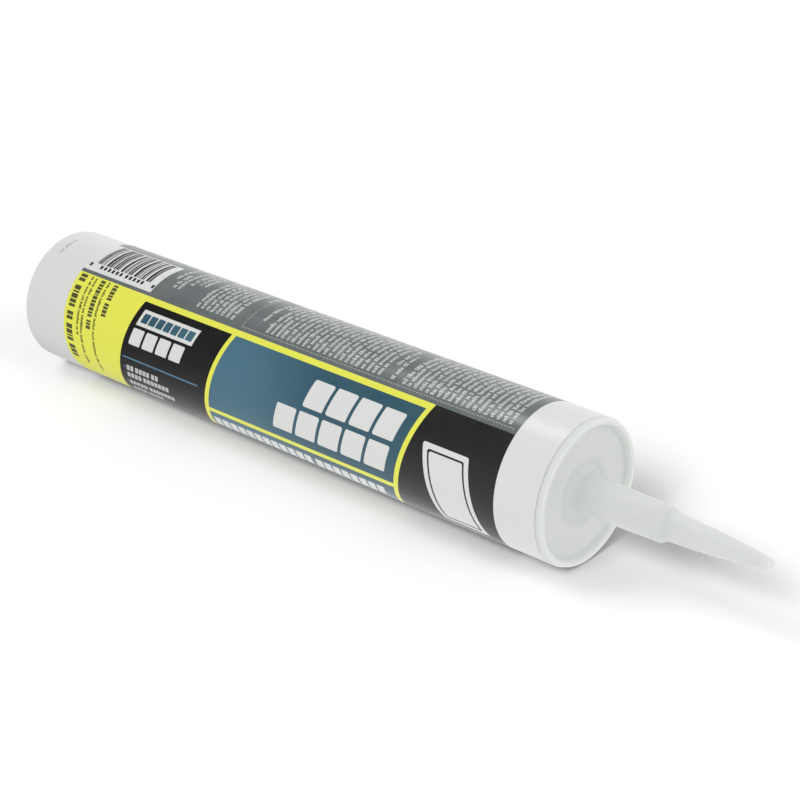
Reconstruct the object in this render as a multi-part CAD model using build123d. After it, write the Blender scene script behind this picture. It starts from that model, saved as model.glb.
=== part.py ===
from build123d import *
from math import ceil, cos, radians, sin, tan
import os

# A large cartridge of construction adhesive, standing on its open rear rim. The origin is the centre
# of that rim, and +Z runs along the axis to the nozzle's tip. Lengths are in millimetres.

# Barrel: a polyethylene tube, open at the rear
barrel_diameter = 63.5
barrel_wall = 1.4
barrel_length = 309.8
rear_rim_bevel = 0.4

# Head: cap and nozzle moulded as one piece, welded into the front of the barrel
collar_height = 3.1
collar_land = 0.9
collar_bevel = 0.8
rim_lip = 1.4
face_recess = 2.4
face_draft = 0.5
face_wall = 1.8
moat_radius = 13.2
moat_depth = 1.5
moat_slope = 45.0
moat_round = 1.2
skirt_length = 6.0
skirt_wall = 1.6
skirt_gap = 0.05

# Nozzle, on the head's axis
nozzle_length = 84.8
nozzle_wall = 1.3
root_radius = 8.35
root_round = 2.6
shoulder_height = 37.1
shoulder_radius = 7.7
shoulder_length = 3.1
shoulder_round = 0.9
neck_radius = 6.04
cone_bulge = 0.55
tip_radius = 2.3
tip_bevel = 0.5
tip_plug = 3.0
bore_tip_radius = 1.1

# Foil seal under the head, over the nozzle's inlet
seal_thickness = 0.3
seal_overlap = 3.0

# Plunger: a thin cup that a gun's push plate drives along the barrel
plunger_inset = 4.5
plunger_height = 14.0
plunger_gap = 0.06
plunger_wall = 1.5
plunger_face = 1.8
lip_height = 2.0
lip_lead = 0.6
waist_depth = 0.6
crown_height = 2.6
crown_gap = 1.5
crown_bevel = 0.8
hub_radius = 9.0
hub_step = 1.2

# Adhesive between the plunger and the head
fill_gap = 0.3

# Print on the barrel. The artwork is drawn flat: lengths run along the barrel from the print's rear
# edge, and heights run round it, down from the front print's top edge. It goes round the barrel once
# and is stretched to the print's length. Every sloping edge leans by the same angle.
ink_gap = 0.08
ink_thickness = 0.12
artwork_length = 261.3
artwork_girth = 199.5
print_centre = -90.0
print_rear = 28.0
print_front_margin = 20.5
print_lean = 15.0
lean_step = 12.5
cutter_over = 1.0
line_width = 2.5
top_line = 2.9
main_panel_height = 38.0
title_strip_height = 16.2
band_length = 47.5
tag_panel_length = 56.7
badge_panel_length = 41.7

# Bare patch and bars of the bar code, in the grey field above the yellow band
patch_length = 46.5
patch_height = 23.5
patch_offset = 1.9
bar_module = 0.5
bar_height = 17.5
bar_foot = 5.0
bar_margin = 5.2
bar_widths = (1, 2, 1, 1, 3, 2, 1, 2, 2, 1, 3, 1, 1, 2, 2, 3, 1, 1, 2, 1, 3, 2)
bar_spaces = (1, 1, 2, 3, 1, 1, 2, 1, 1, 3, 2, 1, 2, 1, 3, 1, 2, 2, 1, 3, 1, 2)

# Rows of plain blocks that the ink leaves bare
headline_counts = (4, 5)
headline_drop = 5.2
headline_pitch = 15.2
headline_height = 12.9
headline_margin = 5.4
headline_block = 11.6
headline_gap = 1.7
title_counts = (8, 12)
title_drop = 3.7
title_height = 8.5
title_margin = 6.2
title_block = 4.3
title_gap = 0.8
title_word_gap = 2.4
tag_margin = 3.5
tag_box_drop = 3.6
tag_box_height = 8.1
tag_box_length = 37.0
tag_box_border = 1.7
tag_letter_count = 7
tag_letter_gap = 0.8
tag_row_count = 4
tag_row_drop = 13.2
tag_row_height = 8.2
tag_row_block = 7.5
tag_row_gap = 1.4

# Blank badge near the front: a bare slab that leans the other way, with a fine line inside its edge
badge_drop = 15.5
badge_height = 37.0
badge_length = 24.0
badge_margin = 15.3
badge_lean = -12.9
badge_border = 2.4
badge_line = 0.8

# Sizes that follow from those above
barrel_radius = barrel_diameter / 2
bore_radius = barrel_radius - barrel_wall
front_rim = barrel_length + collar_height
face_level = front_rim - face_recess
rim_radius = barrel_radius - collar_bevel
lip_radius = rim_radius - rim_lip
moat_run = moat_depth / tan(radians(moat_slope))
moat_floor_radius = moat_radius - moat_run
moat_floor = face_level - moat_depth
skirt_radius = bore_radius - skirt_gap
skirt_bore = skirt_radius - skirt_wall
skirt_end = barrel_length - skirt_length
head_underside = moat_floor - face_wall
boss_radius = moat_floor_radius + face_wall * tan(radians(moat_slope / 2))
shoulder_level = front_rim + shoulder_height
neck_level = shoulder_level + shoulder_length
tip_level = front_rim + nozzle_length
inlet_radius = shoulder_radius - nozzle_wall
seal_level = head_underside - seal_thickness
plunger_radius = bore_radius - plunger_gap
waist_radius = plunger_radius - waist_depth
cup_radius = waist_radius - plunger_wall
plunger_front = plunger_inset + plunger_height
crown_level = plunger_front + crown_height
crown_radius = skirt_bore - crown_gap
print_front = barrel_length - print_front_margin
ink_radius = barrel_radius + ink_gap
slope = tan(radians(print_lean))
main_top = top_line
main_bottom = main_top + main_panel_height
title_top = main_bottom + line_width
title_bottom = title_top + title_strip_height
print_height = title_bottom + top_line
tag_rear = band_length
tag_front = tag_rear + tag_panel_length
main_rear = tag_front + line_width
badge_panel_rear = artwork_length - badge_panel_length
main_front = badge_panel_rear - line_width


def rounded(profile, corners):
    """Round the named corners of a profile, each given as its point and its radius."""
    for point, radius in corners:
        corner = profile.vertices().sort_by_distance((*point, 0))[0]
        profile = fillet(corner, radius)
    return profile


def bevelled(profile, points, length):
    """Bevel the corners of a profile at these points."""
    return chamfer([profile.vertices().sort_by_distance((*point, 0))[0] for point in points], length)


def turned(profile):
    """Turn a profile, drawn as radius and height, about the axis."""
    return revolve(Plane.XZ * profile, Axis.Z)


def make_barrel():
    outline = Polyline(
        (bore_radius, 0),
        (barrel_radius, 0),
        (barrel_radius, barrel_length),
        (bore_radius, barrel_length),
        close=True,
    )
    edges = [(bore_radius, 0), (barrel_radius, 0)]
    return turned(bevelled(make_face(outline), edges, rear_rim_bevel))


def make_head():
    """Skirt, bevelled collar, sunk face, moat and hollow nozzle with a closed tip. The nozzle's cone
    stands out a little from a straight taper."""
    root = (root_radius, moat_floor)
    shoulder = (shoulder_radius, shoulder_level)
    neck = (neck_radius, neck_level)
    tip_edge = (tip_radius, tip_level)
    cone_middle = ((neck_radius + tip_radius) / 2 + cone_bulge, (neck_level + tip_level) / 2)
    cone = ThreePointArc(neck, cone_middle, tip_edge)
    outside = Polyline(
        (skirt_bore, skirt_end),
        (skirt_radius, skirt_end),
        (skirt_radius, barrel_length),
        (barrel_radius, barrel_length),
        (barrel_radius, barrel_length + collar_land),
        (rim_radius, front_rim),
        (lip_radius, front_rim),
        (lip_radius - face_draft, face_level),
        (moat_radius, face_level),
        (moat_floor_radius, moat_floor),
        root,
        shoulder,
        neck,
    )
    inside = Polyline(
        tip_edge,
        (0, tip_level),
        (0, tip_level - tip_plug),
        (bore_tip_radius, tip_level - tip_plug),
        (neck_radius - nozzle_wall, neck_level),
        (inlet_radius, shoulder_level),
        (inlet_radius, head_underside),
        (boss_radius, head_underside),
        (boss_radius + moat_run, face_level - face_wall),
        (skirt_bore, face_level - face_wall),
        (skirt_bore, skirt_end),
    )
    profile = rounded(make_face([outside, cone, inside]), [
        ((moat_radius, face_level), moat_round),
        ((moat_floor_radius, moat_floor), moat_round),
        (root, root_round),
        (shoulder, shoulder_round),
    ])
    return turned(bevelled(profile, [tip_edge], tip_bevel))


def make_seal():
    seal = Cylinder(inlet_radius + seal_overlap, seal_thickness)
    return Pos(0, 0, seal_level + seal_thickness / 2) * seal


def make_plunger():
    """A cup with a sealing lip at each end of its wall, and a crown that enters the head's skirt."""
    crown_edge = (crown_radius, crown_level)
    outline = Polyline(
        (cup_radius, plunger_inset),
        (plunger_radius, plunger_inset),
        (plunger_radius, plunger_inset + lip_height),
        (waist_radius, plunger_inset + lip_height + waist_depth),
        (waist_radius, plunger_front - lip_height - waist_depth),
        (plunger_radius, plunger_front - lip_height),
        (plunger_radius, plunger_front - lip_lead),
        (plunger_radius - lip_lead, plunger_front),
        (crown_radius, plunger_front),
        crown_edge,
        (0, crown_level),
        (0, crown_level - plunger_face - hub_step),
        (hub_radius, crown_level - plunger_face - hub_step),
        (hub_radius + hub_step, crown_level - plunger_face),
        (crown_radius - plunger_wall, crown_level - plunger_face),
        (crown_radius - plunger_wall, plunger_front - plunger_face),
        (cup_radius, plunger_front - plunger_face),
        close=True,
    )
    return turned(bevelled(make_face(outline), [crown_edge], crown_bevel))


def make_adhesive():
    """The fill, which stands a hair clear of the walls and follows the crown and the skirt."""
    fill_radius = bore_radius - fill_gap
    crown_clear = crown_radius + fill_gap
    neck_clear = skirt_bore - fill_gap
    outline = Polyline(
        (0, crown_level + fill_gap),
        (crown_clear, crown_level + fill_gap),
        (crown_clear, plunger_front + fill_gap),
        (fill_radius, plunger_front + fill_gap),
        (fill_radius, skirt_end - fill_gap),
        (neck_clear, skirt_end - fill_gap),
        (neck_clear, seal_level - fill_gap),
        (0, seal_level - fill_gap),
        close=True,
    )
    return turned(make_face(outline))


def print_level(along):
    """The height on the barrel of a place this far along the artwork."""
    return print_rear + along * (print_front - print_rear) / artwork_length


def print_turn(down):
    """The angle round the barrel from the front print's middle to a place this far down."""
    return 360 * (down - print_height / 2) / artwork_girth


def square_block(top, bottom, rear, front, inner_radius, outer_radius):
    """A block on the barrel with square edges, between two radii."""
    angle = radians(print_centre + print_turn(top))
    start = Plane((0, 0, 0), x_dir=(cos(angle), sin(angle), 0), z_dir=(sin(angle), -cos(angle), 0))
    low, high = print_level(rear), print_level(front)
    middle = ((inner_radius + outer_radius) / 2, (low + high) / 2)
    section = start * Pos(*middle) * Rectangle(outer_radius - inner_radius, high - low)
    return revolve(section, Axis.Z, print_turn(bottom) - print_turn(top))


def ink_field(top, bottom, rear, front):
    """A field of ink with square edges."""
    return square_block(top, bottom, rear, front, ink_radius, ink_radius + ink_thickness)


def square_cutter(top, bottom, rear, front):
    """A block with square edges that passes right through the ink."""
    outer_radius = ink_radius + ink_thickness + cutter_over
    return square_block(top, bottom, rear, front, ink_radius - cutter_over, outer_radius)


def leaning_cutter(top, bottom, rear, front, rear_lean=print_lean, front_lean=print_lean):
    """A block with leaning ends that passes through the front print. rear and front hold at its top
    edge, and an end with a positive lean drifts to the rear going down. It is drawn as seen from in
    front, where a leaning end is a curve: the stations along it give it the curve's form."""
    between = [step * lean_step for step in range(ceil(top / lean_step), ceil(bottom / lean_step))]
    stations = [top, *[down for down in between if down > top], bottom]
    ends = []
    for along, lean in ((rear, rear_lean), (front, front_lean)):
        ends.append([
            (
                ink_radius * sin(radians(print_turn(down))),
                print_level(along - (down - top) * tan(radians(lean))),
            )
            for down in stations
        ])
    outline = make_face(Polyline(*ends[0], *reversed(ends[1]), close=True))
    cutter = extrude(Plane.XZ * outline, ink_radius + ink_thickness + cutter_over)
    return Rot(0, 0, print_centre + 90) * cutter


def drifted(along, down):
    """Where a leaning edge, given at the main panel's top, has drifted to further down."""
    return along - (down - main_top) * slope


def panel_window(top, bottom, rear, front):
    """The window of one panel: its ends, given at the main panel's top, line up with its neighbours'."""
    return leaning_cutter(top, bottom, drifted(rear, top), drifted(front, top))


def panel_field(top, bottom, rear, front):
    """A panel of ink that fills its window."""
    sheet = ink_field(
        top - cutter_over, bottom + cutter_over, drifted(rear, bottom) - cutter_over,
        drifted(front, top) + cutter_over)
    return sheet & panel_window(top, bottom, rear, front)


def block_row(count, top, height, rear, length, gap):
    """Cutters for a row of equal leaning blocks."""
    rears = [rear + index * (length + gap) for index in range(count)]
    return [leaning_cutter(top, top + height, start, start + length) for start in rears]


def headline_blocks():
    """Two headline rows that end one margin short of the main panel's front edge."""
    blocks = []
    for row, count in enumerate(headline_counts):
        top = main_top + headline_drop + row * headline_pitch
        length = count * (headline_block + headline_gap) - headline_gap
        rear = drifted(main_front, top) - headline_margin - length
        blocks += block_row(count, top, headline_height, rear, headline_block, headline_gap)
    return blocks


def title_blocks():
    """Two words of small blocks along the title strip, the last one a margin short of its front."""
    top = title_top + title_drop
    pitch = title_block + title_gap
    front = drifted(main_front, top) - title_margin
    blocks = []
    for count in title_counts:
        rear = front - count * pitch + title_gap
        blocks += block_row(count, top, title_height, rear, title_block, title_gap)
        front = rear - title_word_gap
    return blocks


def make_tag_panel():
    """The black panel: a bare box that holds a row of blue blocks, over a row of bare blocks."""
    box_top = main_top + tag_box_drop
    box_rear = drifted(tag_rear, box_top) + tag_margin
    box = leaning_cutter(box_top, box_top + tag_box_height, box_rear, box_rear + tag_box_length)
    row_top = main_top + tag_row_drop
    row_rear = drifted(tag_rear, row_top) + tag_margin
    row = block_row(tag_row_count, row_top, tag_row_height, row_rear, tag_row_block, tag_row_gap)
    panel = panel_field(main_top, title_bottom, tag_rear, tag_front) - box - row

    letter_top = box_top + tag_box_border
    letter_height = tag_box_height - 2 * tag_box_border
    letter_rear = box_rear - tag_box_border * slope + tag_box_border
    letter_pitch = (tag_box_length - 2 * tag_box_border + tag_letter_gap) / tag_letter_count
    letter_block = letter_pitch - tag_letter_gap
    letters = block_row(
        tag_letter_count, letter_top, letter_height, letter_rear, letter_block, tag_letter_gap)
    sheet = ink_field(box_top, box_top + tag_box_height, box_rear - line_width, box_rear + tag_box_length)
    return panel, [sheet & letter for letter in letters]


def badge_window():
    """The window of the front panel, with a leaning rear edge and a square front edge."""
    top = -cutter_over
    bottom = print_height + cutter_over
    front = artwork_length + cutter_over
    return leaning_cutter(top, bottom, drifted(badge_panel_rear, top), front, front_lean=0)


def badge_slab(inset):
    """A cutter for the badge, or for a smaller slab set in from its edge."""
    top = badge_drop + inset
    rear = artwork_length - badge_margin - badge_length + inset - inset * tan(radians(badge_lean))
    return leaning_cutter(
        top, top + badge_height - 2 * inset, rear, rear + badge_length - 2 * inset, badge_lean,
        badge_lean)


def make_badge_panel(window):
    """The black panel in front, round a bare badge that holds one fine black line."""
    rear = drifted(badge_panel_rear, print_height)
    sheet = ink_field(0, print_height, rear, artwork_length) & window
    ring = sheet & badge_slab(badge_border)
    return sheet - badge_slab(0), ring - badge_slab(badge_border + badge_line)


def make_bars():
    """Bars of the bar code: they stand round the tube, side by side along the axis."""
    bottom = -patch_offset - bar_foot
    position = bar_margin
    bars = []
    for width, space in zip(bar_widths, bar_spaces):
        bars.append(ink_field(bottom - bar_height, bottom, position, position + width * bar_module))
        position += (width + space) * bar_module
    return bars


def make_grey_print():
    """The field that wraps round the back, with a bare patch for the bar code at its rear edge."""
    field = ink_field(print_height, artwork_girth, 0, artwork_length)
    patch_bottom = -patch_offset
    return field - square_cutter(patch_bottom - patch_height, patch_bottom, -cutter_over, patch_length)


def make_front_print():
    """The black, blue and yellow inks: yellow is what the panels leave of the front print."""
    window = badge_window()
    tag_panel, tag_letters = make_tag_panel()
    badge_panel, badge_ring = make_badge_panel(window)
    main = panel_field(main_top, main_bottom, main_rear, main_front) - headline_blocks()
    title = panel_field(title_top, title_bottom, main_rear, main_front) - title_blocks()
    yellow = ink_field(0, print_height, 0, artwork_length) - [
        panel_window(main_top, title_bottom, tag_rear, tag_front),
        panel_window(main_top, main_bottom, main_rear, main_front),
        panel_window(title_top, title_bottom, main_rear, main_front),
        window,
    ]
    return [tag_panel, badge_panel, badge_ring, *make_bars()], [main, title, *tag_letters], [yellow]


def save(node, pieces):
    """Write one node: a single solid, or several of one ink."""
    solids = [solid for piece in pieces for solid in piece.solids()]
    shape = solids[0] if len(solids) == 1 else Compound(children=solids)
    shape.label = node
    export_step(shape, f"parts/{node}.step")


os.makedirs("parts", exist_ok=True)
save("barrel", [make_barrel()])
save("head_nozzle", [make_head()])
save("inner_seal", [make_seal()])
save("plunger", [make_plunger()])
save("adhesive", [make_adhesive()])
black, blue, yellow = make_front_print()
save("grey_print", [make_grey_print()])
save("black_print", black)
save("blue_print", blue)
save("yellow_print", yellow)
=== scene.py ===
import math
import random

import bmesh
import bpy
from mathutils import Matrix, Vector
from mathutils.geometry import tessellate_polygon


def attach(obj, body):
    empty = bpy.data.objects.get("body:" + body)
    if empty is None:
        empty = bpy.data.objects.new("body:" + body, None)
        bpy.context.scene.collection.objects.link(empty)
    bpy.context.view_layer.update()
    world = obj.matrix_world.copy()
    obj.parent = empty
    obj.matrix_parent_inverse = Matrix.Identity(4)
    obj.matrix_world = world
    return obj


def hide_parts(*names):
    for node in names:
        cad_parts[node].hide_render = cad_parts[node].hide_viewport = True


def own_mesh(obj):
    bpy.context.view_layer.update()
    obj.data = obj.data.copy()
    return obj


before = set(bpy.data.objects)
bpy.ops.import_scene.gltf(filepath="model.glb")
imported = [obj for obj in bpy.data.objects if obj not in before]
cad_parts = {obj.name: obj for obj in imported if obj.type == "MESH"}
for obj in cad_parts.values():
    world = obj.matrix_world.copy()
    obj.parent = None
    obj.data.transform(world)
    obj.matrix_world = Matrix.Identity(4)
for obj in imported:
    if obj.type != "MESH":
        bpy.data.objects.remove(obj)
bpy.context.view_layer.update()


# The barrel is a tube of white polyethylene, extruded and cut square. The gun's plate enters at
# the open rear end, whose rim has only a slight break of the edge. The head is welded in front.
mm = 0.001
barrel_radius = 31.75 * mm
barrel_bore = 30.35 * mm
barrel_length = 309.8 * mm
rear_rim_break = 0.45 * mm
weld_edge_break = 0.2 * mm
sharp_from = math.radians(35)


def soften(corners, steps=6):
    """An outline of (radius, height) points from corners that each have a radius, a height and a
    round, which is 0 for a sharp corner."""
    outline = []
    for index, (radius, height, rounding) in enumerate(corners):
        here = Vector((radius, height))
        if not rounding:
            outline.append(here)
            continue
        back = (Vector(corners[index - 1][:2]) - here).normalized()
        onward = (Vector(corners[(index + 1) % len(corners)][:2]) - here).normalized()
        half_corner = back.angle(onward) / 2
        centre = here + (back + onward).normalized() * rounding / math.sin(half_corner)
        arm = here + back * rounding / math.tan(half_corner) - centre
        turn = math.copysign(math.pi - 2 * half_corner, back.x * onward.y - back.y * onward.x)
        for step in range(steps + 1):
            outline.append(centre + Matrix.Rotation(-turn * step / steps, 2) @ arm)
    return outline


def new_piece(name, mesh, material, body, slot, *stands_for):
    """A smooth piece from a bmesh, with its finish, its body and the nodes it stands for. Its slot is
    not used.
    """
    bmesh.ops.recalc_face_normals(mesh, faces=mesh.faces)
    data = bpy.data.meshes.new(name)
    mesh.to_mesh(data)
    mesh.free()
    data.shade_smooth()
    data.set_sharp_from_angle(angle=sharp_from)
    data.materials.append(material)
    piece = bpy.data.objects.new(name, data)
    bpy.context.scene.collection.objects.link(piece)
    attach(piece, body)
    if stands_for:
        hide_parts(*stands_for)
    return piece


def turned_mesh(outline, around=192):
    """A closed mesh turned about Z from an outline that runs once round the wall's section. A point
    on the axis becomes a single vertex."""
    mesh = bmesh.new()
    angles = [2 * math.pi * step / around for step in range(around)]
    rings = []
    for radius, height in outline:
        if not radius:
            rings.append([mesh.verts.new((0, 0, height))])
            continue
        rings.append([
            mesh.verts.new((radius * math.cos(angle), radius * math.sin(angle), height))
            for angle in angles
        ])
    for ring, next_ring in zip(rings, rings[1:] + rings[:1]):
        for step in range(around):
            later = (step + 1) % around
            if len(ring) > 1 and len(next_ring) > 1:
                mesh.faces.new((ring[step], ring[later], next_ring[later], next_ring[step]))
            elif len(ring) > 1:
                mesh.faces.new((ring[step], ring[later], next_ring[0]))
            elif len(next_ring) > 1:
                mesh.faces.new((ring[0], next_ring[later], next_ring[step]))
    return mesh


def add_node(tree, kind, inputs=(), **settings):
    """A shader node with its settings and the values of some of its inputs."""
    node = tree.nodes.new(kind)
    for name, value in settings.items():
        setattr(node, name, value)
    for name, value in dict(inputs).items():
        node.inputs[name].default_value = value
    return node


def moulded_finish(name, colour, cloud_colour, cloud_size, roughness, grain_size, grain_depth,
                   stretch=1.0, glow=0.0, glow_depth=2.5 * mm):
    """A plastic, foil or ink: its colour drifts in soft clouds, its gloss drifts with them, and a
    fine grain stands up from it. stretch draws clouds and grain out along the barrel, and glow is
    how much of the light comes from inside the plastic."""
    gloss_drift = 0.05
    material = bpy.data.materials.new(name)
    material.use_nodes = True
    tree = material.node_tree
    surface = tree.nodes["Principled BSDF"]
    surface.inputs["Subsurface Weight"].default_value = glow
    surface.inputs["Subsurface Radius"].default_value = (1.0, 0.95, 0.85)
    surface.inputs["Subsurface Scale"].default_value = glow_depth
    place = add_node(tree, "ShaderNodeTexCoord")
    squeeze = add_node(tree, "ShaderNodeMapping", {"Scale": (1, 1, 1 / stretch)})
    clouds = add_node(tree, "ShaderNodeTexNoise", {"Scale": 1 / cloud_size, "Detail": 4})
    mix = add_node(tree, "ShaderNodeMix", data_type="RGBA")
    mix.inputs["A"].default_value = (*colour, 1)
    mix.inputs["B"].default_value = (*cloud_colour, 1)
    gloss = add_node(tree, "ShaderNodeMapRange", {
        "From Min": 0.3, "From Max": 0.7,
        "To Min": roughness - gloss_drift, "To Max": roughness + gloss_drift})
    grain = add_node(tree, "ShaderNodeTexNoise", {"Scale": 1 / grain_size, "Detail": 3})
    relief = add_node(tree, "ShaderNodeBump", {"Strength": 0.6, "Distance": grain_depth})
    link = tree.links.new
    link(place.outputs["Object"], squeeze.inputs["Vector"])
    link(squeeze.outputs["Vector"], clouds.inputs["Vector"])
    link(squeeze.outputs["Vector"], grain.inputs["Vector"])
    link(clouds.outputs["Fac"], mix.inputs["Factor"])
    link(mix.outputs["Result"], surface.inputs["Base Color"])
    link(clouds.outputs["Fac"], gloss.inputs["Value"])
    link(gloss.outputs["Result"], surface.inputs["Roughness"])
    link(grain.outputs["Fac"], relief.inputs["Height"])
    link(relief.outputs["Normal"], surface.inputs["Normal"])
    return material


barrel_plastic = moulded_finish(
    "barrel_polyethylene", (0.76, 0.77, 0.75), (0.73, 0.74, 0.72), 30 * mm, 0.34,
    0.9 * mm, 0.012 * mm, stretch=6)
barrel_outline = soften([
    (barrel_bore, 0, rear_rim_break),
    (barrel_radius, 0, rear_rim_break),
    (barrel_radius, barrel_length, weld_edge_break),
    (barrel_bore, barrel_length, 0),
])
new_piece("barrel_tube", turned_mesh(barrel_outline, 256), barrel_plastic, "cartridge",
          "barrel_plastic", "barrel")


# The head is one moulding of softer, milkier polyethylene: a skirt that is spin-welded inside the
# barrel, a bevelled collar, a raised rim round a sunk face, and a hollow nozzle with a closed tip.
collar_land = 0.9 * mm
collar_top = 312.9 * mm
land_groove = 0.18 * mm
rim_radius = 30.95 * mm
lip_radius = 29.25 * mm
rim_round = 0.5 * mm
lip_foot = 27.7 * mm
lip_foot_round = 1.2 * mm
face_level = 310.5 * mm
face_dish = 0.25 * mm
face_dish_round = 3.0 * mm
moat_radius = 15.4 * mm
moat_edge_round = 7.0 * mm
moat_floor_radius = 12.3 * mm
moat_floor = 309.6 * mm
moat_floor_round = 2.6 * mm
root_radius = 8.35 * mm
root_round = 3.5 * mm
shoulder_radius = 7.7 * mm
shoulder_level = 350.0 * mm
shoulder_round = 0.9 * mm
neck_radius = 6.04 * mm
neck_level = 353.1 * mm
neck_round = 0.5 * mm
cone_bulge = 0.55 * mm
cone_steps = 14
tip_radius = 2.3 * mm
tip_level = 397.7 * mm
tip_crown = 0.25 * mm
tip_round = 0.6 * mm
nozzle_wall = 1.3 * mm
bore_tip_radius = 1.1 * mm
bore_tip_level = 394.7 * mm
inlet_radius = 6.4 * mm
head_underside = 307.2 * mm
face_underside = 308.7 * mm
boss_radius = 12.45 * mm
boss_top_radius = 13.95 * mm
skirt_radius = 30.3 * mm
skirt_bore = 28.7 * mm
skirt_end = 303.8 * mm
skirt_round = 0.3 * mm


def cone_point(share):
    """A point of the nozzle's cone, which stands out a little from a straight taper."""
    radius = neck_radius + (tip_radius - neck_radius) * share + cone_bulge * 4 * share * (1 - share)
    return radius, neck_level + (tip_level - neck_level) * share, 0


head_outline = soften([
    (skirt_bore, skirt_end, skirt_round),
    (skirt_radius, skirt_end, skirt_round),
    (skirt_radius, barrel_length, 0),
    (barrel_radius, barrel_length, weld_edge_break),
    (barrel_radius, barrel_length + collar_land, land_groove),
    (rim_radius, collar_top, rim_round),
    (lip_radius, collar_top, rim_round),
    (lip_foot, face_level, lip_foot_round),
    ((lip_foot + moat_radius) / 2, face_level - face_dish, face_dish_round),
    (moat_radius, face_level, moat_edge_round),
    (moat_floor_radius, moat_floor, moat_floor_round),
    (root_radius, moat_floor, root_round),
    (shoulder_radius, shoulder_level, shoulder_round),
    (neck_radius, neck_level, neck_round),
    *[cone_point(step / cone_steps) for step in range(1, cone_steps)],
    (tip_radius, tip_level - tip_crown, tip_round),
    (0, tip_level, 0),
    (0, bore_tip_level, 0),
    (bore_tip_radius, bore_tip_level, 0),
    (neck_radius - nozzle_wall, neck_level, 0),
    (inlet_radius, shoulder_level, 0),
    (inlet_radius, head_underside, 0),
    (boss_radius, head_underside, 0),
    (boss_top_radius, face_underside, 0),
    (skirt_bore, face_underside, 0),
])

# The top of the rim has one small dent, on its inner side.
dent_angle = math.radians(100.0)
dent_half_width = 1.8 * mm
dent_depth = 0.5 * mm
dent_margin = 1.0 * mm
head_mesh = turned_mesh(head_outline)
for vertex in head_mesh.verts:
    radius = vertex.co.xy.length
    on_rim = vertex.co.z >= collar_top - dent_margin
    if on_rim and lip_foot <= radius <= rim_radius - dent_margin:
        reach = abs(math.atan2(vertex.co.y, vertex.co.x) - dent_angle) * radius / dent_half_width
        vertex.co.z -= dent_depth * max(0.0, 1 - reach)
nozzle_plastic = moulded_finish(
    "head_polyethylene", (0.745, 0.765, 0.745), (0.705, 0.728, 0.708), 9 * mm, 0.38,
    1.4 * mm, 0.03 * mm, glow=0.7, glow_depth=4 * mm)
new_piece("head_moulding", head_mesh, nozzle_plastic, "cartridge", "nozzle_plastic",
          "head_nozzle")


# The seal is a disc of laminated foil, heat-welded over the nozzle's inlet on the head's underside.
# It is plain, so the solid stays and only gets its finish.
foil = moulded_finish("seal_foil", (0.72, 0.72, 0.73), (0.62, 0.62, 0.63), 4 * mm, 0.3,
                      0.6 * mm, 0.02 * mm)
foil.node_tree.nodes["Principled BSDF"].inputs["Metallic"].default_value = 1
seal_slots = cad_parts["inner_seal"].data.materials
seal_slots.clear()
seal_slots.append(foil)


# The plunger is a thin cup of natural polyethylene with a sealing lip at each end of its wall. The
# gun's plate pushes inside it, on the raised crown, which has a thicker hub at its middle.
plunger_rear = 4.5 * mm
plunger_front = 18.5 * mm
plunger_radius = 30.29 * mm
waist_radius = 29.69 * mm
cup_radius = 28.19 * mm
lip_height = 2.0 * mm
lip_slope = 0.6 * mm
crown_level = 21.1 * mm
crown_radius = 27.2 * mm
plunger_wall = 1.5 * mm
plunger_face = 1.8 * mm
hub_radius = 9.0 * mm
hub_step = 1.2 * mm
lip_round = 0.2 * mm
lip_edge_round = 0.3 * mm
cup_round = 0.4 * mm
crown_round = 1.0 * mm
hub_round = 0.5 * mm
hub_foot_round = 0.8 * mm
plunger_outline = soften([
    (cup_radius, plunger_rear, cup_round),
    (plunger_radius, plunger_rear, lip_edge_round),
    (plunger_radius, plunger_rear + lip_height, lip_round),
    (waist_radius, plunger_rear + lip_height + lip_slope, cup_round),
    (waist_radius, plunger_front - lip_height - lip_slope, cup_round),
    (plunger_radius, plunger_front - lip_height, lip_round),
    (plunger_radius, plunger_front - lip_slope, lip_round),
    (plunger_radius - lip_slope, plunger_front, lip_round),
    (crown_radius, plunger_front, lip_edge_round),
    (crown_radius, crown_level, crown_round),
    (0, crown_level, 0),
    (0, crown_level - plunger_face - hub_step, 0),
    (hub_radius, crown_level - plunger_face - hub_step, hub_round),
    (hub_radius + hub_step, crown_level - plunger_face, hub_foot_round),
    (crown_radius - plunger_wall, crown_level - plunger_face, crown_round),
    (crown_radius - plunger_wall, plunger_front - plunger_face, cup_round),
    (cup_radius, plunger_front - plunger_face, cup_round),
])
plunger_plastic = moulded_finish(
    "plunger_polyethylene", (0.70, 0.71, 0.69), (0.66, 0.67, 0.65), 12 * mm, 0.45,
    1.2 * mm, 0.03 * mm)
new_piece("plunger_cup", turned_mesh(plunger_outline), plunger_plastic, "plunger",
          "plunger_plastic", "plunger")


# The adhesive is a stiff off-white paste that fills the barrel between the plunger and the head.
# It shortens towards the head, to almost nothing, as the plunger comes up behind it.
paste_radius = 30.05 * mm
paste_neck_radius = 28.4 * mm
paste_crown_radius = 27.5 * mm
paste_rear = 18.8 * mm
paste_over_crown = 21.4 * mm
paste_shoulder = 303.5 * mm
paste_front = 306.6 * mm
paste_round = 0.6 * mm
paste_outline = soften([
    (0, paste_over_crown, 0),
    (paste_crown_radius, paste_over_crown, 0),
    (paste_crown_radius, paste_rear, 0),
    (paste_radius, paste_rear, 0),
    (paste_radius, paste_shoulder, paste_round),
    (paste_neck_radius, paste_shoulder, 0),
    (paste_neck_radius, paste_front, 0),
    (0, paste_front, 0),
])
paste = moulded_finish("adhesive_paste", (0.66, 0.62, 0.53), (0.60, 0.56, 0.47), 6 * mm, 0.5,
                       2.5 * mm, 0.3 * mm)
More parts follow.
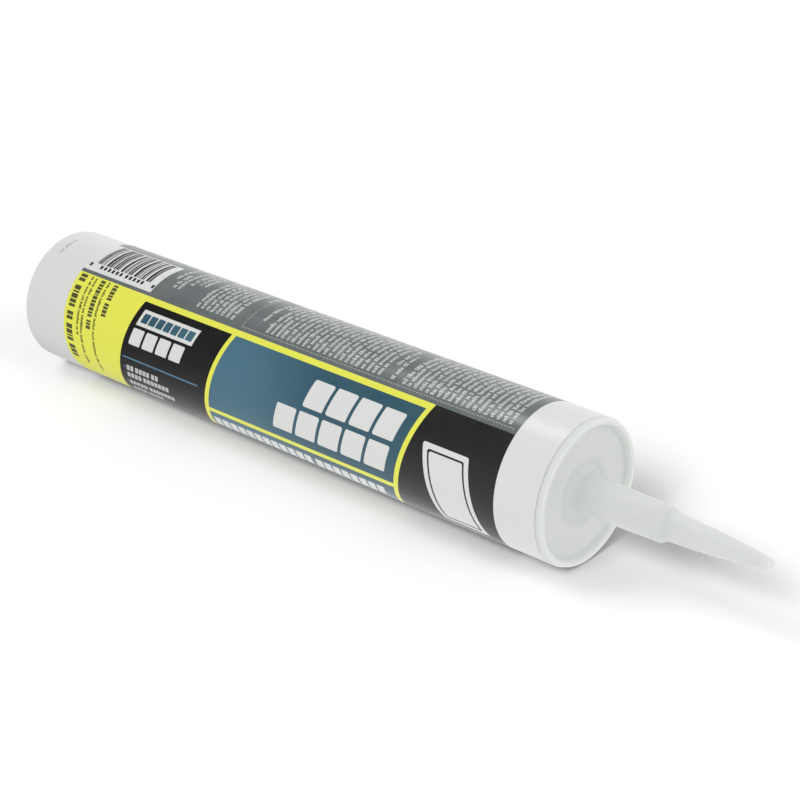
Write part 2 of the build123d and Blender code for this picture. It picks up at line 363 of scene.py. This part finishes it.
adhesive_fill = new_piece("adhesive_fill", turned_mesh(paste_outline, 96), paste, "cartridge",
                          "adhesive_paste", "adhesive")
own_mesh(adhesive_fill)


# The grey ink is printed straight on the barrel, round its back, and varnished. The artwork is drawn
# flat in millimetres here: lengths along the barrel from the print's rear edge, and heights down
# round it from the front print's top.
artwork_length = 261.3
artwork_girth = 199.5
print_height = 62.5
print_rear = 28.0
print_centre = -90.0
ink_thickness = 0.06 * mm
ink_grain_size = 0.5 * mm
ink_grain_depth = 0.006 * mm
wrap_step = artwork_girth / 240
corner_steps = 4


def on_barrel(along, down, above):
    """The place on the barrel of a point of the artwork, this far above the plastic."""
    angle = math.radians(print_centre + 360 * (down - print_height / 2) / artwork_girth)
    radius = barrel_radius + above
    return radius * math.cos(angle), radius * math.sin(angle), (print_rear + along) * mm


def rounded_loop(corners, rounding):
    """A closed outline in the flat artwork whose corners are all rounded alike."""
    if not rounding:
        return [Vector(corner) for corner in corners]
    return soften([(*corner, rounding) for corner in corners], corner_steps)


def printed_mesh(shapes, thickness=ink_thickness, base=0.0):
    """Thin sheets of ink on the barrel. Each shape is a list of loops: its outline, then its holes."""
    mesh = bmesh.new()
    for loops in shapes:
        corners = [mesh.verts.new((*point, 0)) for loop in loops for point in loop]
        for triangle in tessellate_polygon([[point.to_3d() for point in loop] for loop in loops]):
            mesh.faces.new([corners[index] for index in triangle])
    downs = [vertex.co.y for vertex in mesh.verts]
    for cut in range(math.floor(min(downs) / wrap_step) + 1, math.ceil(max(downs) / wrap_step)):
        everything = mesh.verts[:] + mesh.edges[:] + mesh.faces[:]
        bmesh.ops.bisect_plane(
            mesh, geom=everything, plane_co=(0, cut * wrap_step, 0), plane_no=(0, 1, 0))
    raised = bmesh.ops.extrude_face_region(mesh, geom=mesh.faces[:], use_keep_orig=True)
    for element in raised["geom"]:
        if isinstance(element, bmesh.types.BMVert):
            element.co.z = 1
    for vertex in mesh.verts:
        vertex.co = on_barrel(vertex.co.x, vertex.co.y, base + vertex.co.z * thickness)
    return mesh


def ink_finish(name, colour, cloud_colour, cloud_size, roughness=0.27):
    """An ink under thin varnish, which has hardly any grain."""
    return moulded_finish(name, colour, cloud_colour, cloud_size, roughness, ink_grain_size,
                          ink_grain_depth)


patch_length = 46.5
patch_rear_edge = artwork_girth - 25.4
patch_front_edge = artwork_girth - 1.9
grey_field = [[Vector(corner) for corner in (
    (0, print_height), (artwork_length, print_height), (artwork_length, artwork_girth),
    (0, artwork_girth), (0, patch_front_edge), (patch_length, patch_front_edge),
    (patch_length, patch_rear_edge), (0, patch_rear_edge),
)]]
grey_ink = ink_finish("grey_ink", (0.128, 0.148, 0.150), (0.146, 0.165, 0.166), 20 * mm)
new_piece("grey_print_field", printed_mesh([grey_field]), grey_ink, "cartridge", "grey_ink",
          "grey_print")


# The front print has a yellow ground, printed round the panels, whose edge shows as their frame. The
# panels' ends all lean by the same angle, and what is white in them is the bare barrel.
print_slope = math.tan(math.radians(15.0))
line_width = 2.5
top_line = 2.9
main_panel_height = 38.0
title_strip_height = 16.2
band_length = 47.5
tag_panel_length = 56.7
badge_panel_length = 41.7
main_top = top_line
main_bottom = main_top + main_panel_height
title_top = main_bottom + line_width
title_bottom = title_top + title_strip_height
tag_front = band_length + tag_panel_length
main_rear = tag_front + line_width
badge_panel_rear = artwork_length - badge_panel_length
main_front = badge_panel_rear - line_width


def leaning_block(top, bottom, rear, front, rounding=0.0, slope=print_slope):
    """A block whose ends lean: rear and front hold at its top edge."""
    drift = (bottom - top) * slope
    corners = [(rear, top), (front, top), (front - drift, bottom), (rear - drift, bottom)]
    return rounded_loop(corners, rounding)


def drifted(along, down):
    """Where a leaning edge, given at the main panel's top, has drifted to further down."""
    return along - (down - main_top) * print_slope


def panel_outline(top, bottom, rear, front):
    """The outline of one panel, whose ends are given at the main panel's top."""
    return leaning_block(top, bottom, drifted(rear, top), drifted(front, top))


tag_outline = panel_outline(main_top, title_bottom, band_length, tag_front)
main_outline = panel_outline(main_top, main_bottom, main_rear, main_front)
title_outline = panel_outline(title_top, title_bottom, main_rear, main_front)
yellow_ground = [
    [Vector(corner) for corner in (
        (0, 0), (drifted(badge_panel_rear, 0), 0),
        (drifted(badge_panel_rear, print_height), print_height), (0, print_height))],
    tag_outline, main_outline, title_outline,
]
yellow_ink = ink_finish("yellow_ink", (0.85, 0.86, 0.094), (0.82, 0.83, 0.086), 15 * mm)
new_piece("yellow_print_ground", printed_mesh([yellow_ground]), yellow_ink, "cartridge",
          "yellow_ink", "yellow_print")


# The blue ink fills the main panel and the strip under it, and is paler round a point near the panel's
# rear, fading to its plain colour some 60 mm away.
# Two rows of large plain blocks and one row of small ones stay bare.
headline_counts = (4, 5)
headline_drop = 5.2
headline_pitch = 15.2
headline_height = 12.9
headline_margin = 5.4
headline_block = 11.6
headline_gap = 1.7
headline_rounding = 0.9
title_counts = (8, 12)
title_drop = 3.7
title_height = 8.5
title_margin = 6.2
title_block = 4.3
title_gap = 0.8
title_word_gap = 2.4
title_rounding = 0.4


def block_row(count, top, height, rear, length, gap, rounding):
    """A row of equal leaning blocks."""
    rears = [rear + index * (length + gap) for index in range(count)]
    return [leaning_block(top, top + height, start, start + length, rounding) for start in rears]


headline_blocks = []
for row, count in enumerate(headline_counts):
    row_top = main_top + headline_drop + row * headline_pitch
    row_length = count * (headline_block + headline_gap) - headline_gap
    row_rear = drifted(main_front, row_top) - headline_margin - row_length
    headline_blocks += block_row(
        count, row_top, headline_height, row_rear, headline_block, headline_gap, headline_rounding)
title_blocks = []
title_row_top = title_top + title_drop
word_front = drifted(main_front, title_row_top) - title_margin
for count in title_counts:
    word_rear = word_front - count * (title_block + title_gap) + title_gap
    title_blocks += block_row(
        count, title_row_top, title_height, word_rear, title_block, title_gap, title_rounding)
    word_front = word_rear - title_word_gap

# The tag panel is black: a bare box that holds a row of blue blocks, over a row of bare blocks.
tag_margin = 3.5
tag_box_drop = 3.6
tag_box_height = 8.1
tag_box_length = 37.0
tag_box_border = 1.7
tag_letter_count = 7
tag_letter_gap = 0.8
tag_row_count = 4
tag_row_drop = 13.2
tag_row_height = 8.2
tag_row_block = 7.5
tag_row_gap = 1.4
tag_rounding = 0.6
tag_box_top = main_top + tag_box_drop
tag_box_rear = drifted(band_length, tag_box_top) + tag_margin
tag_box = leaning_block(tag_box_top, tag_box_top + tag_box_height, tag_box_rear,
                        tag_box_rear + tag_box_length)
tag_row_top = main_top + tag_row_drop
tag_row = block_row(
    tag_row_count, tag_row_top, tag_row_height, drifted(band_length, tag_row_top) + tag_margin,
    tag_row_block, tag_row_gap, tag_rounding)
tag_letter_pitch = (tag_box_length - 2 * tag_box_border + tag_letter_gap) / tag_letter_count
tag_letters = block_row(
    tag_letter_count, tag_box_top + tag_box_border, tag_box_height - 2 * tag_box_border,
    tag_box_rear - tag_box_border * print_slope + tag_box_border,
    tag_letter_pitch - tag_letter_gap, tag_letter_gap, title_rounding)

blue_ink = ink_finish("blue_ink", (0.029, 0.096, 0.138), (0.035, 0.105, 0.148), 15 * mm)
pale_blue = (0.070, 0.178, 0.250, 1)
pale_along = 110.0
pale_down = 18.0
pale_reach = 62 * mm
blue_tree = blue_ink.node_tree
blue_surface = blue_tree.nodes["Principled BSDF"]
blue_place = add_node(blue_tree, "ShaderNodeTexCoord")
blue_way = add_node(blue_tree, "ShaderNodeVectorMath", operation="DISTANCE")
blue_way.inputs[1].default_value = on_barrel(pale_along, pale_down, 0)
blue_fade = add_node(blue_tree, "ShaderNodeMapRange", {"From Max": pale_reach},
                     interpolation_type="SMOOTHSTEP")
blue_mix = add_node(blue_tree, "ShaderNodeMix", data_type="RGBA")
blue_mix.inputs["A"].default_value = pale_blue
link = blue_tree.links.new
link(blue_place.outputs["Object"], blue_way.inputs[0])
link(blue_way.outputs["Value"], blue_fade.inputs["Value"])
link(blue_fade.outputs["Result"], blue_mix.inputs["Factor"])
link(blue_surface.inputs["Base Color"].links[0].from_socket, blue_mix.inputs["B"])
link(blue_mix.outputs["Result"], blue_surface.inputs["Base Color"])
blue_shapes = [[main_outline, *headline_blocks], [title_outline, *title_blocks]]
blue_shapes += [[letter] for letter in tag_letters]
new_piece("blue_print_panels", printed_mesh(blue_shapes), blue_ink, "cartridge", "blue_ink",
          "blue_print")


# The black ink makes the tag panel, the front panel round a blank badge, and the bars of the code on
# the bare patch at the rear. The badge is a plain slab that leans the other way, with one fine line.
badge_drop = 15.5
badge_height = 37.0
badge_length = 24.0
badge_margin = 15.3
badge_slope = math.tan(math.radians(-12.9))
badge_border = 2.4
badge_line = 0.8
badge_rounding = 1.0
bar_module = 0.5
bar_top = -24.4
bar_bottom = -6.9
bar_margin = 5.2
bar_widths = (1, 2, 1, 1, 3, 2, 1, 2, 2, 1, 3, 1, 1, 2, 2, 3, 1, 1, 2, 1, 3, 2)
bar_spaces = (1, 1, 2, 3, 1, 1, 2, 1, 1, 3, 2, 1, 2, 1, 3, 1, 2, 2, 1, 3, 1, 2)


def badge_slab(inset):
    """The badge's outline, or a smaller slab set in from its edge."""
    top = badge_drop + inset
    rear = artwork_length - badge_margin - badge_length + inset - inset * badge_slope
    return leaning_block(top, top + badge_height - 2 * inset, rear, rear + badge_length - 2 * inset,
                         badge_rounding, badge_slope)


badge_panel = [
    [Vector(corner) for corner in (
        (drifted(badge_panel_rear, 0), 0), (artwork_length, 0), (artwork_length, print_height),
        (drifted(badge_panel_rear, print_height), print_height))],
    badge_slab(0),
]
badge_ring = [badge_slab(badge_border), badge_slab(badge_border + badge_line)]
bars = []
bar_place = bar_margin
for width, space in zip(bar_widths, bar_spaces):
    bar_front = bar_place + width * bar_module
    bars.append([leaning_block(bar_top, bar_bottom, bar_place, bar_front, slope=0)])
    bar_place = bar_front + space * bar_module
black_ink = ink_finish("black_ink", (0.008, 0.0085, 0.008), (0.0105, 0.011, 0.0105), 15 * mm)
black_shapes = [[tag_outline, tag_box, *tag_row], badge_panel, badge_ring, *bars]
new_piece("black_print_panels", printed_mesh(black_shapes), black_ink, "cartridge", "black_ink",
          "black_print")


# The small print is set in rows that run round the barrel. Here it is only plain blocks with the
# sizes and gaps of small type, pale on the grey ink, and one column has a dotted outline.
mark_thickness = 0.025 * mm
row_pitch = 3.13
type_height = 2.0
short_type = 1.45
type_gap = 0.27
word_gap = 0.8
type_widths = (0.4, 0.65, 0.8, 0.8, 1.05)
word_lengths = (2, 3, 4, 5, 6, 8, 11)
dot_size = 0.5
dot_pitch = 1.4
dots_rear = 106.0
dots_front = 259.5
dots_down = -2.4
dots_up = -63.0
front_column = (-3.6, -60.0)
back_column = (-68.0, -129.0)
bold_size = 1.15
ragged_end = 7


def mark_box(mesh, rear, front, top, bottom, base=ink_thickness):
    """One small block of ink, straight enough to need no bending round the barrel."""
    corners = [(rear, top), (front, top), (front, bottom), (rear, bottom)]
    low = [mesh.verts.new(on_barrel(*corner, base)) for corner in corners]
    high = [mesh.verts.new(on_barrel(*corner, base + mark_thickness)) for corner in corners]
    mesh.faces.new(low)
    mesh.faces.new(high)
    for index in range(4):
        later = (index + 1) % 4
        mesh.faces.new((low[index], low[later], high[later], high[index]))


def type_row(mesh, dice, along, start, end, size=1.0, base=ink_thickness,
             heights=(type_height, short_type, short_type)):
    """A row of type that runs round the barrel from its start to its end, up or down."""
    way = math.copysign(1, end - start)
    place = start
    while (end - place) * way > 0:
        for _ in range(dice.choice(word_lengths)):
            width = dice.choice(type_widths) * size
            height = dice.choice(heights) * size
            if (end - place) * way < width:
                return
            foot = along + way * -type_height * size / 2
            edges = sorted((place, place + way * width))
            mark_box(mesh, *sorted((foot, foot + way * height)), *edges, base)
            place += way * (width + type_gap * size)
        place += way * word_gap * size


single_rows = (
    (52.0, -15, -42, 1), (55.5, -9, -22, 1.1), (58.5, -9, -36, 1), (62.5, -14, -50, 1),
    (66.0, -16, -50, 1), (69.2, -16, -40, 1), (104.0, -22, -48, 1), (114.0, -9, -27, 1),
    (116.9, -22, -58, 1), (190.0, -12, -28, 1), (193.2, -4, -22, 1),
)
row_blocks = (
    (76.0, 98.0, 98.0, front_column), (120.0, 187.0, 120.0, front_column),
    (199.5, 258.0, 199.5, front_column), (8.0, 60.0, 8.0, back_column),
    (72.0, 148.0, 72.0, back_column), (160.0, 254.0, 160.0, back_column),
)
dice = random.Random(7)
small_print = bmesh.new()
for along, start, end, size in single_rows:
    type_row(small_print, dice, along, start, end, size)
for first, last, bold, column in row_blocks:
    for row in range(int((last - first) / row_pitch) + 1):
        along = first + row * row_pitch
        size = bold_size if abs(along - bold) < row_pitch / 2 else 1
        end = column[1] + dice.uniform(0, ragged_end)
        type_row(small_print, dice, along, column[0], end, size)
for down in (dots_down, dots_up):
    for step in range(int((dots_front - dots_rear) / dot_pitch) + 1):
        dot = dots_rear + step * dot_pitch
        mark_box(small_print, dot, dot + dot_size, down, down + dot_size)
for step in range(1, int((dots_down - dots_up) / dot_pitch)):
    dot = dots_down - step * dot_pitch
    mark_box(small_print, dots_rear, dots_rear + dot_size, dot, dot + dot_size)
small_print_ink = ink_finish("small_print", (0.58, 0.59, 0.58), (0.50, 0.51, 0.50), 5 * mm, 0.3)
new_piece("grey_small_print", small_print, small_print_ink, "cartridge", "barrel_plastic")


# The yellow band carries rows of dark type that run down round the barrel, large at the rear. The
# bars have a row of small marks under them, and a date is jetted faintly on the bare end. All of it
# is plain blocks here.
band_type_top = 0.9
capitals = (type_height, type_height)
band_print = bmesh.new()
for along, end, size in ((9.8, 30, 0.8), (12.6, 46, 0.8), (21.2, 48, 0.8)):
    type_row(band_print, dice, along, band_type_top, end, size)
for along, end, size in ((4.0, 45, 2.1), (17.2, 26, 1.5), (26.0, 17, 1.5)):
    type_row(band_print, dice, along, band_type_top, end, size, heights=capitals)
band_print_ink = ink_finish("band_print", (0.075, 0.08, 0.028), (0.10, 0.105, 0.036), 5 * mm, 0.3)
new_piece("yellow_band_print", band_print, band_print_ink, "cartridge", "black_ink")

digit_length = 1.5
digit_pitch = 2.7
digit_top = -6.3
digit_bottom = -4.2
first_digit = 1.7
left_digits = 9.0
right_digits = 26.4
last_digit = 44.4
digit_places = [first_digit, last_digit]
digit_places += [left_digits + index * digit_pitch for index in range(6)]
digit_places += [right_digits + index * digit_pitch for index in range(5)]
code_marks = bmesh.new()
for digit in digit_places:
    mark_box(code_marks, digit, digit + digit_length, digit_top, digit_bottom, 0)
new_piece("code_marks", code_marks, black_ink, "cartridge", "black_ink")

date_along = -20.5
date_start = -5.5
date_end = -16.5
date_size = 0.9
date_marks = bmesh.new()
type_row(date_marks, dice, date_along, date_start, date_end, date_size, 0)
date_ink = ink_finish("date_ink", (0.40, 0.41, 0.41), (0.48, 0.49, 0.49), 2 * mm, 0.4)
new_piece("date_marks", date_marks, date_ink, "cartridge", "black_ink")


# Four lines of white type stand in the tag panel, under a thin pale blue line that runs between
# them and the tag. Two small blue marks stand before the first and third lines.
tag_rule_drop = 28.0
tag_rule_height = 0.9
tag_rule_length = 50.0
tag_rule_margin = 1.6
tag_type_drops = (32.6, 37.1, 42.8, 48.4)
tag_type_words = ((2, 4, 2), (4, 7), (5, 7), (4, 4))
tag_type_height = 3.1
tag_type_width = 1.95
tag_type_gap = 0.55
tag_type_space = 1.4
tag_type_margin = 4.6
tag_mark_size = 1.1
tag_lines = []
tag_blue = []
rule_top = main_top + tag_rule_drop
rule_rear = drifted(band_length, rule_top) + tag_rule_margin
tag_blue.append([leaning_block(
    rule_top, rule_top + tag_rule_height, rule_rear, rule_rear + tag_rule_length)])
for line, (drop, words) in enumerate(zip(tag_type_drops, tag_type_words)):
    line_top = main_top + drop
    place = drifted(band_length, line_top) + tag_type_margin
    if line % 2 == 0:
        mark_top = line_top + tag_type_height / 2 - tag_mark_size / 2
        tag_blue.append([leaning_block(
            mark_top, mark_top + tag_mark_size, place - 2 * tag_mark_size, place - tag_mark_size)])
    for letters in words:
        tag_lines += [[block] for block in block_row(
            letters, line_top, tag_type_height, place, tag_type_width, tag_type_gap, 0)]
        place += letters * (tag_type_width + tag_type_gap) + tag_type_space - tag_type_gap
new_piece("tag_white_lines", printed_mesh(tag_lines, mark_thickness, ink_thickness),
          small_print_ink, "cartridge", "barrel_plastic")
pale_blue_ink = ink_finish("pale_blue_ink", (0.095, 0.20, 0.30), (0.08, 0.18, 0.275), 5 * mm, 0.3)
new_piece("tag_blue_lines", printed_mesh(tag_blue, mark_thickness, ink_thickness), pale_blue_ink,
          "cartridge", "blue_ink")


# The studio is a white floor that the cartridge lies against, in soft light from all sides. The
# photograph's down is this frame's +X, less a small turn about the axis.
lie_turn = math.radians(-2.5)
floor_reach = 31.9 * mm
floor_size = 3.0
floor_up = Vector((-math.cos(lie_turn), -math.sin(lie_turn), 0))
near_side = Vector((math.sin(lie_turn), -math.cos(lie_turn), 0))


def in_studio(along, near, above):
    """A point this far along the barrel, nearer to the camera than its axis, and above the axis."""
    return floor_up * above + near_side * near + Vector((0, 0, along))


floor_mesh = bpy.data.meshes.new("studio_floor")
floor_mesh.from_pydata(
    [in_studio(along, near, -floor_reach) for along, near in (
        (-floor_size, -floor_size), (floor_size, -floor_size), (floor_size, floor_size),
        (-floor_size, floor_size))],
    [], [(0, 1, 2, 3)])
studio_floor = bpy.data.objects.new("studio_floor", floor_mesh)
bpy.context.scene.collection.objects.link(studio_floor)
if floor_mesh.polygons[0].normal.dot(floor_up) < 0:
    floor_mesh.flip_normals()

# The floor shows only from in front, and lights or darkens nothing: the world does that alone.
floor_colour = 0.295
floor_paint = bpy.data.materials.new("studio_floor")
floor_paint.use_nodes = True
floor_tree = floor_paint.node_tree
floor_tree.nodes.clear()
floor_side = add_node(floor_tree, "ShaderNodeNewGeometry")
floor_white = add_node(floor_tree, "ShaderNodeBsdfDiffuse", {"Color": (*[floor_colour] * 3, 1)})
floor_clear = add_node(floor_tree, "ShaderNodeBsdfTransparent")
floor_mix = add_node(floor_tree, "ShaderNodeMixShader")
floor_out = add_node(floor_tree, "ShaderNodeOutputMaterial")
link = floor_tree.links.new
link(floor_side.outputs["Backfacing"], floor_mix.inputs[0])
link(floor_white.outputs[0], floor_mix.inputs[1])
link(floor_clear.outputs[0], floor_mix.inputs[2])
link(floor_mix.outputs[0], floor_out.inputs["Surface"])
floor_mesh.materials.append(floor_paint)
studio_floor.visible_diffuse = False
studio_floor.visible_glossy = False
studio_floor.visible_transmission = False
studio_floor.visible_shadow = False

# Four soft suns draw the shadow beside the cartridge, three of them from the camera's side. They
# light the floor alone.
floor_only = bpy.data.collections.new("floor_only")
floor_only.objects.link(studio_floor)
for name, way, strength, spread in (
    ("side_sun", in_studio(0, 0.743, 0.669), 4.3, 22.0),
    ("near_sun", in_studio(0.212, 0.791, 0.574), 3.4, 22.0),
    ("rear_sun", in_studio(-0.557, 0.321, 0.766), 2.8, 30.0),
    ("front_sun", in_studio(0.819, 0, 0.574), 1.6, 30.0),
):
    sun = bpy.data.lights.new(name, "SUN")
    sun.energy = strength
    sun.angle = math.radians(spread)
    sun_object = bpy.data.objects.new(name, sun)
    sun_object.rotation_euler = way.to_track_quat("Z", "Y").to_euler()
    bpy.context.scene.collection.objects.link(sun_object)
    sun_object.light_linking.receiver_collection = floor_only

# The world is white to the camera. Its light falls a little from the floor's up to its down. What
# gloss sees of it is dark behind and above, bright in front and along the far horizon, with one
# lamp high behind, which draws a streak on the grey ink near the head.
world = bpy.data.worlds.new("white_studio")
bpy.context.scene.world = world
world.use_nodes = True
world.cycles.sampling_method = "NONE"
sky = world.node_tree
sky.nodes.clear()
sky_way = add_node(sky, "ShaderNodeTexCoord")


def sky_band(way, start, end, least, most):
    """Light that goes from least to most as the direction turns towards this way."""
    turn = add_node(sky, "ShaderNodeVectorMath", operation="DOT_PRODUCT")
    turn.inputs[1].default_value = way
    band = add_node(sky, "ShaderNodeMapRange", {
        "From Min": start, "From Max": end, "To Min": least, "To Max": most})
    sky.links.new(sky_way.outputs["Generated"], turn.inputs[0])
    sky.links.new(turn.outputs["Value"], band.inputs["Value"])
    return band.outputs["Result"]


soft_light = sky_band(floor_up, -1.0, 1.0, 0.90, 1.01)
far_gloss = sky_band(in_studio(-0.63, -0.77, 0), 0.70, 0.98, 0.0, 1.1)
front_gloss = sky_band(in_studio(1, 0, -0.12), -0.67, -0.53, 0.06, 0.95)
lamp_gloss = sky_band(in_studio(-0.47, -0.162, 0.868), 0.990, 0.998, 0.0, 10.0)
gloss_most = add_node(sky, "ShaderNodeMath", operation="MAXIMUM")
gloss_all = add_node(sky, "ShaderNodeMath", operation="ADD")
rays = add_node(sky, "ShaderNodeLightPath")
gloss_or_soft = add_node(sky, "ShaderNodeMix", data_type="FLOAT")
seen_or_light = add_node(sky, "ShaderNodeMix", {"B": 1.0}, data_type="FLOAT")
sky_glow = add_node(sky, "ShaderNodeBackground", {"Color": (1, 1, 1, 1)})
sky_out = add_node(sky, "ShaderNodeOutputWorld")
link = sky.links.new
link(far_gloss, gloss_most.inputs[0])
link(front_gloss, gloss_most.inputs[1])
link(gloss_most.outputs[0], gloss_all.inputs[0])
link(lamp_gloss, gloss_all.inputs[1])
link(rays.outputs["Is Glossy Ray"], gloss_or_soft.inputs["Factor"])
link(soft_light, gloss_or_soft.inputs["A"])
link(gloss_all.outputs[0], gloss_or_soft.inputs["B"])
link(rays.outputs["Is Camera Ray"], seen_or_light.inputs["Factor"])
link(gloss_or_soft.outputs["Result"], seen_or_light.inputs["A"])
link(seen_or_light.outputs["Result"], sky_glow.inputs["Strength"])
link(sky_glow.outputs[0], sky_out.inputs["Surface"])

# The camera looks down on the nozzle end from the near side, as in the photograph.
camera_place = in_studio(718.3 * mm, 574.2 * mm, 378.2 * mm)
camera_aim = in_studio(212.2 * mm, 0, 9.6 * mm)
camera_data = bpy.data.cameras.new("photo_camera")
camera_data.lens = 89.46
camera_data.sensor_width = 36
camera = bpy.data.objects.new("photo_camera", camera_data)
camera_back = (camera_place - camera_aim).normalized()
camera_right = floor_up.cross(camera_back).normalized()
camera_up = camera_back.cross(camera_right)
camera.matrix_world = Matrix.Translation(camera_place) @ Matrix(
    (camera_right, camera_up, camera_back)).transposed().to_4x4()
bpy.context.scene.collection.objects.link(camera)
bpy.context.scene.camera = camera
bpy.context.scene.view_settings.view_transform = "Standard"
